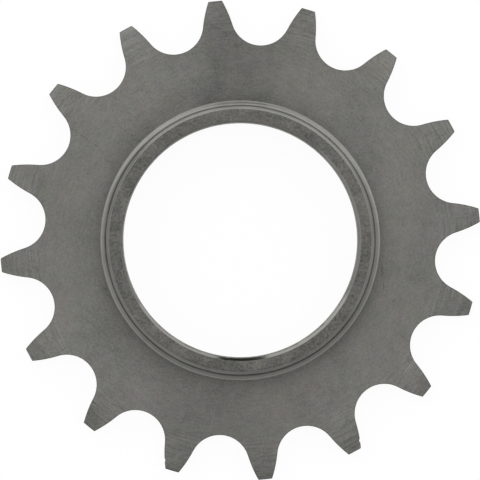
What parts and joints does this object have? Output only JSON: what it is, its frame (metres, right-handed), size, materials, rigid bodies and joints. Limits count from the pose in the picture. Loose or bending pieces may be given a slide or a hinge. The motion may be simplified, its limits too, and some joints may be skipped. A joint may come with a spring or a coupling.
{
  "type": "track sprocket",
  "caption": "Flat toothed steel ring for a bicycle's fixed-gear roller chain, with a threaded bore and a low collar on one face.",
  "frame": {"origin": "centre of the bore on the flat back face", "axes": "+Z along the bore, from the flat back face towards the collar; +X through the middle of one tooth"},
  "size_m": [0.0694, 0.0694, 0.007],
  "materials": {
    "steel": "satin, turned on the faces, with a fine brushed grain and light handling marks"
  },
  "bodies": {
    "root": {"sprocket": "steel"}
  },
  "joints": []
}
